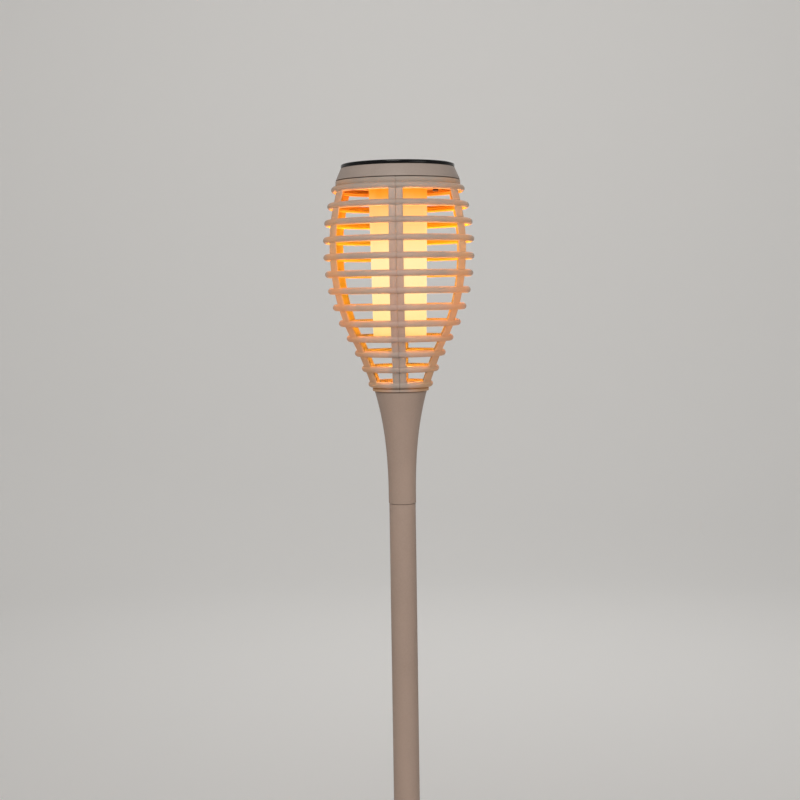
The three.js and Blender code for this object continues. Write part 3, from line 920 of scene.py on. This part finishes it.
def make_cage_half(node, side, material):
    """Half of the cage, on the +X or -X side: half rings, ribs, band and foot in one moulding."""
    centres = spaced_profile(RING_COUNT)
    pieces = [
        half_turn(bar_section(centre), side, material, f"{node}_ring_{index}")
        for index, centre in enumerate(centres)
    ]
    half = RIB_WIDTH / 2
    for degrees in (30, -30):
        turn = degrees if side > 0 else 180 - degrees
        pieces.append(rib(f"{node}_rib_{degrees}", turn, -half, half, RIB_EDGE, RIB_EDGE, material))
    overlap = SEAM_OVERLAP / MM
    seam_first = (-overlap, half, SEAM_GROOVE, RIB_EDGE)
    seam_last = (-half, overlap, RIB_EDGE, SEAM_GROOVE)
    front, back = (seam_first, seam_last) if side > 0 else (seam_last, seam_first)
    pieces.append(rib(f"{node}_rib_front", -90, *front, material))
    pieces.append(rib(f"{node}_rib_back", 90, *back, material))
    pieces.append(half_turn(filleted(BAND_SECTION, 3), side, material, f"{node}_band"))
    pieces.append(half_turn(filleted(CUP_SECTION, 3), side, material, f"{node}_cup"))
    joined = combined(pieces[0], pieces[1:])
    centre = LUG_ANGLES[0] if side > 0 else LUG_ANGLES[1]
    radii = (43, 47.8)
    notch_start = centre - NOTCH_HALF
    notch_end = centre + NOTCH_HALF
    cutters = [
        sector_block("notch", radii, (notch_start, notch_end), (158.9, 168), material),
        sector_block("track", radii, (notch_start - TWIST, notch_end), (158.9, 161.7), material),
    ]
    joined = combined(joined, cutters, "DIFFERENCE")
    joined.name = node + "_moulding"
    place(joined, node, "head")


# ---- lamp unit

def upright(name, outline, low, high, material):
    """A solid over an outline of (x, y) points, between two heights above the stem, all in mm."""
    rows = [[Vector((x * MM, y * MM, in_frame(z))) for x, y in outline] for z in (low, high)]
    return swept(name, rows, material)


def block(name, low, high, material):
    """A plain box between two (x, y, height above the stem) corners in mm."""
    outline = [(low[0], low[1]), (high[0], low[1]), (high[0], high[1]), (low[0], high[1])]
    return upright(name, outline, low[2], high[2], material)


def round_bar(name, x, y, radius, low, high, material):
    """An upright round bar at x, y, all in mm above the stem."""
    outline = [(x + radius * cos, y + radius * sin) for cos, sin in round_steps(32)]
    return upright(name, outline, low, high, material)


def head_shell(name, corners, material, segments=96, steps=4):
    """A turned piece from (radius, height above the stem, fillet) corners in mm."""
    return turned(name, around_axis(corners, STEM_TOP, steps), material, segments)


SCREW_CIRCLE = 34.0
SCREW_PLACES = [
    (SCREW_CIRCLE * math.cos(math.radians(degrees)), SCREW_CIRCLE * math.sin(math.radians(degrees)))
    for degrees in (90, 210, 330)
]
SCREW_BORE = 1.8
SWITCH_PLACE = (31.0, 14.0)


def make_cap(material):
    """The drum on top: a slightly tapered side, a rebate that the rim stands in, and an open deck."""
    low = above_stem(BAND_TOP + GAP)
    boss_foot, high = foot_and_top("cap_shell")
    outer_foot = reach("cap_shell") / MM
    outer_top = 45.0
    rebate = 1.8
    deck_top = high - 0.3
    deck_bottom = deck_top - 1.9
    deck_hole = 28
    boss_radius = 3.6
    wall = 2.4
    shell = head_shell("cap_moulding", [
        (outer_foot - wall, low, 0.4), (outer_foot, low, 0.3), (outer_top, high, 0.5),
        (outer_top - rebate, high, 0.2), (outer_top - rebate, deck_top, 0.1), (deck_hole, deck_top, 0.4),
        (deck_hole, deck_bottom, 0.4), (outer_top - wall, deck_bottom, 0.8),
    ], material, 128)
    bosses = []
    for index, (x, y) in enumerate(SCREW_PLACES):
        boss = round_bar(f"boss_{index}", x, y, boss_radius, boss_foot, deck_bottom + 0.5, material)
        bore = round_bar(f"boss_bore_{index}", x, y, SCREW_BORE, boss_foot - 0.5, deck_bottom + 1, material)
        bosses.append(combined(boss, [bore], "DIFFERENCE"))
    place(combined(shell, bosses), "cap_shell", "lamp_unit")


def make_base(material):
    """The lamp unit's floor: rim, seal groove, bayonet lugs, tube collar, switch slot and screw wells."""
    neck_top = above_stem(top("base_plate"))
    ceiling = above_stem(CEILING)
    plate = ceiling + 2.2
    into_plate = ceiling + 0.5
    hole = 5
    rim = 44.9
    neck_outer, neck_inner = 43.6, 41.2
    groove_floor = 42.5
    seal = sum(foot_and_top("seal_ring")) / 2
    groove_low, groove_high = seal - 1.3, seal + 1.3
    band_top = above_stem(BAND_TOP)
    body = head_shell("base_moulding", [
        (hole, ceiling, 0.4), (rim - 0.5, ceiling, 0), (rim, ceiling + 0.6, 0.4), (rim, groove_low, 0.2),
        (groove_floor, groove_low, 0.3), (groove_floor, groove_high, 0.3), (rim, groove_high, 0.1),
        (rim, band_top, 0.1), (neck_outer, band_top + 0.8, 0.2), (neck_outer, neck_top, 0.3),
        (neck_inner, neck_top, 0.3), (neck_inner, plate, 0.4), (hole, plate, 0.4),
    ], material, 128)
    added = []
    for index, centre in enumerate(LUG_ANGLES):
        degrees = (centre - LUG_HALF, centre + LUG_HALF)
        lug = sector_block(f"lug_{index}", (groove_floor, 47.2), degrees, (159.2, 161.4), material)
        added.append(rounded(smooth(lug), 0.35, 2))
    added.append(head_shell("collar", [
        (18.6, 154, 0.3), (21.4, 154, 0.4), (21.4, into_plate, 0), (18.6, into_plate, 0),
    ], material))
    added.append(head_shell("step_ring", [
        (39.4, ceiling - 0.5, 0.2), (40.2, ceiling - 0.5, 0.2), (40.2, into_plate, 0),
        (39.4, into_plate, 0),
    ], material))
    for index, x in enumerate((-24, 12)):
        added.append(round_bar(f"post_{index}", x, -10, 2.2, plate - 0.5, 165.7, material))
    for index in range(6):
        web = block(f"web_{index}", (24.0, -0.5, 159.2), (29.5, 0.5, into_plate), material)
        web.data.transform(Matrix.Rotation(math.radians(30 + 60 * index), 4, "Z"))
        added.append(web)
    joined = combined(body, added)
    below = ceiling - 1
    above = plate + 1
    cutters = []
    for index, (x, y) in enumerate(SCREW_PLACES):
        cutters.append(round_bar(f"screw_hole_{index}", x, y, SCREW_BORE, below - 1, above + 1, material))
    x, y = SWITCH_PLACE
    dish_floor = ceiling + 0.35
    cutters.append(block("switch_slot", (x - 3.25, y - 1.8, below), (x + 3.25, y + 1.8, above), material))
    cutters.append(block("switch_dish", (x - 4.6, y - 3.0, below), (x + 4.6, y + 3.0, dish_floor), material))
    cutters.append(round_bar("lead_hole", -14.5, 0, 2.6, below, above, material))
    place(combined(joined, cutters, "DIFFERENCE"), "base_plate", "lamp_unit")


def make_seal(material):
    """A soft ring with a small lip round its outside."""
    middle = (bottom("seal_ring") + top("seal_ring")) / 2
    ring_radius = 44.3
    lip = 1.04                  # mm from the middle of the ring's section, where the rest is 1 mm from it
    section = []
    for cos, sin in round_steps(28):
        out = lip if cos > 0.95 else 1.0
        section.append((ring_radius * MM + out * MM * cos, middle + MM * sin))
    place(turned("seal_loop", section, material, 128), "seal_ring", "seal")


def make_bezel(material):
    """The glossy rim: a rounded crown that laps over the window's edge."""
    foot, crown = foot_and_top("bezel_ring")
    outer = reach("bezel_ring") / MM
    bore = 40.2
    lap = 37.4
    lap_foot = crown - 0.5
    ring = head_shell("rim_gloss", [
        (bore, foot, 0.2), (outer, foot, 0.35), (outer, crown - 0.05, 1.1), (lap + 1.2, crown, 0.6),
        (lap, crown - 0.35, 0.2), (lap, lap_foot, 0.1), (bore, lap_foot, 0.1),
    ], material, 144, 6)
    place(ring, "bezel_ring", "lamp_unit")


def make_solar(cells, backing):
    """The cell sheet: a round backing with a square of silicon strips and two bus bars on it."""
    low, high = foot_and_top("solar_panel")
    radius = reach("solar_panel") / MM
    face = high - 0.25
    sheet = head_shell("cell_backing", [
        (0, low, 0), (radius, low, 0.15), (radius, face, 0.1), (0, face, 0),
    ], backing)
    half = 26.5                 # of the square that the strips fill
    strips = 8
    pitch = 2 * half / strips
    margin = 0.25
    for index in range(strips):
        left = -half + index * pitch + margin
        right = -half + (index + 1) * pitch - margin
        strip = block(f"cell_strip_{index}", (left, -half, face - 0.1), (right, half, high), cells)
        place(strip, "solar_panel", "lamp_unit")
    ends = half + 2
    for index, y in enumerate((-half * 0.55, half * 0.55)):
        bus = block(
            f"cell_bus_{index}", (-ends, y - 0.5, face - 0.05), (ends, y + 0.5, high + 0.02), backing)
        place(bus, "solar_panel", "lamp_unit")
    place(sheet, "solar_panel", "lamp_unit")


def make_window(material):
    low, high = foot_and_top("panel_window")
    radius = reach("panel_window") / MM
    pane = head_shell("window_pane", [
        (0, low, 0), (radius, low, 0.12), (radius, high, 0.15), (0, high, 0),
    ], material)
    place(pane, "panel_window", "lamp_unit")


TUBE_FOOT = 21.1
TUBE_WALL = 1.2


def make_tube(material):
    """The tapered tube. It casts no shadow, so that the lights inside it reach the cage."""
    low, high = foot_and_top("flame_tube")
    wide = reach("flame_tube") / MM
    tube = head_shell("glow_tube", [
        (TUBE_FOOT - TUBE_WALL, low, 0.2), (TUBE_FOOT, low, 0.35), (wide, high, 0.3),
        (wide - TUBE_WALL, high, 0.2),
    ], material, 128)
    placed = place(tube, "flame_tube", "lamp_unit")
    placed.visible_shadow = False
    return placed


def make_end_cap(material):
    """A dished flange across the tube's foot, with a hollow plug that stands inside the tube."""
    low, high = foot_and_top("tube_end_cap")
    dish = low + 0.35
    flange = low + 1.4
    floor = low + 1.6
    plug = TUBE_FOOT - TUBE_WALL - GAP / MM
    plug_bore = plug - 1.4
    cap = head_shell("end_cap_moulding", [
        (0, dish, 0), (17.0, dish, 0.2), (17.6, low, 0.3), (TUBE_FOOT, low, 0.5), (TUBE_FOOT, flange, 0.3),
        (plug, flange, 0.1), (plug, high, 0.4), (plug_bore, high, 0.3), (plug_bore, floor, 0.3),
        (0, floor, 0),
    ], material)
    place(cap, "tube_end_cap", "lamp_unit").visible_shadow = False


def make_knob(material):
    """The switch's sliding grip: a rounded block with four finger ridges across it."""
    low, high = (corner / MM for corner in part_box("switch_knob"))
    foot, head = foot_and_top("switch_knob")
    stem = block(
        "knob_stem", (low.x + 0.9, low.y + 0.7, foot + 1.0), (high.x - 0.9, high.y - 0.7, head), material)
    grip = block("switch_grip", (low.x, low.y, foot + 0.45), (high.x, high.y, foot + 2.3), material)
    rounded(grip, 0.35, 3)
    count = 4
    half = 0.22
    ridges = []
    for index in range(count):
        x = low.x + (high.x - low.x) * (index + 0.5) / count
        ridge = block(
            f"ridge_{index}", (x - half, low.y + 0.4, foot), (x + half, high.y - 0.4, foot + 0.7), material)
        ridges.append(rounded(ridge, 0.15, 2))
    place(combined(grip, [stem, *ridges]), "switch_knob", "switch")


def make_screw(node, x, y, material):
    """A pan-head screw with a cross recess, head down."""
    low, high = foot_and_top(node)
    under_head = low + 1.7
    head, shank = 2.8, 1.3
    screw = head_shell(node + "_steel", [
        (0, low, 0), (2.2, low, 0.8), (head, low + 0.9, 0.5), (head, under_head, 0.1),
        (shank, under_head, 0.1), (shank, high - 1.5, 0.2), (0.3, high, 0.1), (0, high, 0),
    ], material, 48)
    screw.data.transform(Matrix.Translation((x * MM, y * MM, 0)))
    long, narrow = 2.1, 0.4
    slots = []
    for index, (half_x, half_y) in enumerate(((long, narrow), (narrow, long))):
        slots.append(block(
            f"{node}_slot_{index}",
            (x - half_x, y - half_y, low - 1), (x + half_x, y + half_y, low + 0.8), material))
    place(combined(screw, slots, "DIFFERENCE"), node, "lamp_unit")


def make_glow_lights(rider):
    """Amber light from inside the tube, on the cage's inner faces; dimmer and redder in its upper half."""
    low = bottom("flame_tube")
    high = top("flame_tube")
    count = 6
    for index in range(count):
        upper = max(0.0, index / (count - 1) - 0.5) * 2
        data = bpy.data.lights.new(f"glow_{index}", "POINT")
        data.energy = 1.0 - 0.25 * upper
        data.color = (1.0, 0.42 - 0.12 * upper, 0.14 - 0.08 * upper)
        data.shadow_soft_size = 20 * MM
        light = added_object(f"glow_{index}", data)
        light.location = (0, 0, low + (high - low) * (index + 0.1) / count)
        light.parent = rider
        light.visible_camera = False


def make_room():
    """A round pale studio: a flat floor that curves up into a wall."""
    floor = bottom("ground_spike") - 2 * MM
    flat = 3.6
    sweep = 1.6
    wall_top = 3.4
    steps = 24
    profile = [(0.0, floor), (1.2, floor), (2.4, floor), (flat, floor)]
    for step in range(1, steps + 1):
        angle = math.pi / 2 * step / steps
        profile.append((flat + sweep * math.sin(angle), floor + sweep * (1 - math.cos(angle))))
    profile.append((flat + sweep, floor + wall_top))
    material, tree, shader = new_material("studio paint", (0.90, 0.895, 0.885), 0.8)
    shader.inputs["Specular IOR Level"].default_value = 0.2
    bumped(tree, shader, noise(tree, 0.05, 3), 0.4 * MM, 0.2)
    room = turned("studio_room", profile, material, 128, closed=False)
    for face in room.data.polygons:
        face.use_smooth = True


def finish_nodes():
    """Materials for the CAD nodes that stay as they are."""
    board = plain("board green", (0.012, 0.085, 0.035), (0.020, 0.120, 0.050), 0.4, 0.5 * MM)
    flex = plain("flexible board", (0.70, 0.69, 0.64), (0.62, 0.60, 0.53), 0.45, 0.6 * MM)
    wrap = plain("cell wrap", (0.03, 0.16, 0.34), (0.025, 0.12, 0.28), 0.3, 0.8 * MM)
    white = plain("white plastic", (0.78, 0.77, 0.73), (0.70, 0.69, 0.64), 0.5, 0.5 * MM)
    black = black_plastic("switch housing", 0.5)
    metal = steel("spring steel")
    red = plain("red insulation", (0.45, 0.015, 0.012), (0.36, 0.010, 0.010), 0.42, 0.3 * MM)
    dark = plain("black insulation", (0.015, 0.015, 0.016), (0.03, 0.03, 0.03), 0.42, 0.3 * MM)
    looks = {
        "control_board": board, "switch_body": black, "led_core": white, "led_board": flex,
        "core_plug": white, "battery": wrap, "battery_spring": metal, "battery_contact": metal,
    }
    for lead in ("solar_lead", "led_lead", "battery_lead"):
        looks[lead + "_red"] = red
        looks[lead + "_black"] = dark
    for node, material in looks.items():
        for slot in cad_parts[node].material_slots:
            slot.material = material


# ---- build

make_camera()
make_studio()
make_room()

pole_plastic = greige_plastic("pole plastic", (0.41, 0.302, 0.245), (1, 1, 0.35))
# The cage takes painted amber lamp light on its inner faces, a painted glow on its walls and a painted warm
# tint on its side ribs.
cage_plastic = greige_plastic("cage plastic", (0.405, 0.335, 0.288), glow=0.08, lit=facing_out)
cap_plastic = greige_plastic("cap plastic", (0.385, 0.315, 0.275))
# Painted light: the base plate's downward faces take amber lamp light in their base colour.
base_plastic = greige_plastic("base plastic", (0.385, 0.315, 0.275), lit=facing_up)
gloss = black_gloss()
matte = black_plastic("switch black", 0.45)
rubber = black_plastic("seal rubber", 0.7)
screw_steel = steel("screw steel")

make_spike(pole_plastic)
make_pole("lower_pole", pole_plastic)
make_pole("upper_pole", pole_plastic)
make_stem(pole_plastic)
make_cage_half("cage_half_right", 1, cage_plastic)
make_cage_half("cage_half_left", -1, cage_plastic)
make_cap(cap_plastic)
make_base(base_plastic)
make_seal(rubber)
make_bezel(gloss)
make_solar(solar_cells(), plain("cell backing", (0.02, 0.022, 0.03), (0.03, 0.03, 0.04), 0.35, 0.5 * MM))
make_window(window_clear())
tube = make_tube(flame_glow())
make_end_cap(cap_plastic)
make_knob(matte)
for screw_number, screw_place in enumerate(SCREW_PLACES, 1):
    make_screw(f"base_screw_{screw_number}", *screw_place, screw_steel)
make_glow_lights(tube)
finish_nodes()
